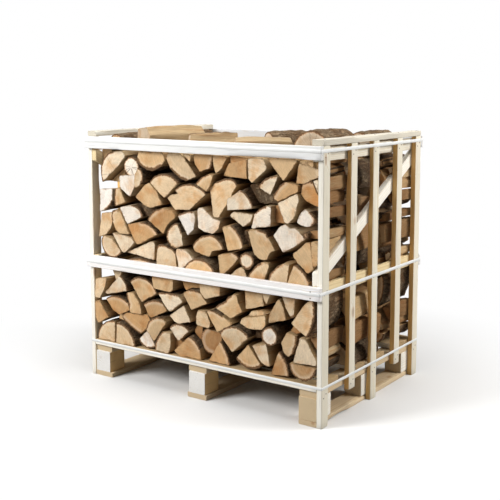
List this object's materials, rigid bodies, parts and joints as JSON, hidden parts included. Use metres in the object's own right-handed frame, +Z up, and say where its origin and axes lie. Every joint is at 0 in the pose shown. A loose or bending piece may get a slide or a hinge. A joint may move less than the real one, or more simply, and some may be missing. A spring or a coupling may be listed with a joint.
{
  "type": "crate of stacked firewood",
  "caption": "Slatted softwood crate on block pallet legs, stacked full of split oak firewood with the log ends showing at front and back, and held by flat plastic straps.",
  "frame": {"origin": "on the floor, under the middle of the crate's outline", "axes": "+Z up, +X along the long face to the right as seen from the front, -Y out of the front where the log ends show"},
  "size_m": [1.15, 0.85, 1.071],
  "materials": {
    "crate_wood": "sawn spruce, pale and dry, with fine saw marks and small knots",
    "pallet_wood": "rough sawn softwood, tan",
    "strap_plastic": "white strapping with a fine ribbed face",
    "oak": "freshly split oak, cream to tan, dry",
    "bark": "grey brown oak bark, ridged and rough"
  },
  "bodies": {
    "root": {"runner_left": "pallet_wood", "block_left_front": "crate_wood", "block_left_middle": "crate_wood", "block_left_rear": "crate_wood", "stringer_left": "crate_wood", "runner_middle": "pallet_wood", "block_middle_front": "crate_wood", "block_middle_middle": "crate_wood", "block_middle_rear": "crate_wood", "stringer_middle": "crate_wood", "runner_right": "pallet_wood", "block_right_front": "crate_wood", "block_right_middle": "crate_wood", "block_right_rear": "crate_wood", "stringer_right": "crate_wood", "deck_board_1": "pallet_wood", "deck_board_2": "pallet_wood", "deck_board_3": "pallet_wood", "deck_board_4": "pallet_wood", "deck_board_5": "pallet_wood", "deck_board_6": "pallet_wood", "post_right_1": "crate_wood", "post_right_2": "crate_wood", "post_right_3": "crate_wood", "slat_right_1": "crate_wood", "slat_right_2": "crate_wood", "inner_board_middle_right": "crate_wood", "inner_board_top_right": "crate_wood", "brace_right": "crate_wood", "rail_right": "crate_wood", "post_left_1": "crate_wood", "post_left_2": "crate_wood", "post_left_3": "crate_wood", "slat_left_1": "crate_wood", "slat_left_2": "crate_wood", "inner_board_middle_left": "crate_wood", "inner_board_top_left": "crate_wood", "brace_left": "crate_wood", "rail_left": "crate_wood", "board_front_middle": "crate_wood", "board_front_top": "crate_wood", "board_rear_middle": "crate_wood", "board_rear_top": "crate_wood", "strap_bottom": "strap_plastic", "strap_middle": "strap_plastic", "strap_top": "strap_plastic", "firewood_front": "oak", "firewood_middle": "oak", "firewood_rear": "oak", "split_log_large": "oak", "bark_log_left": "bark", "split_log_middle": "oak", "split_log_front": "oak", "bark_log_middle": "bark", "bark_log_right": "bark", "bark_log_corner": "bark", "split_log_rear": "oak", "bark_log_rear": "bark"}
  },
  "joints": []
}
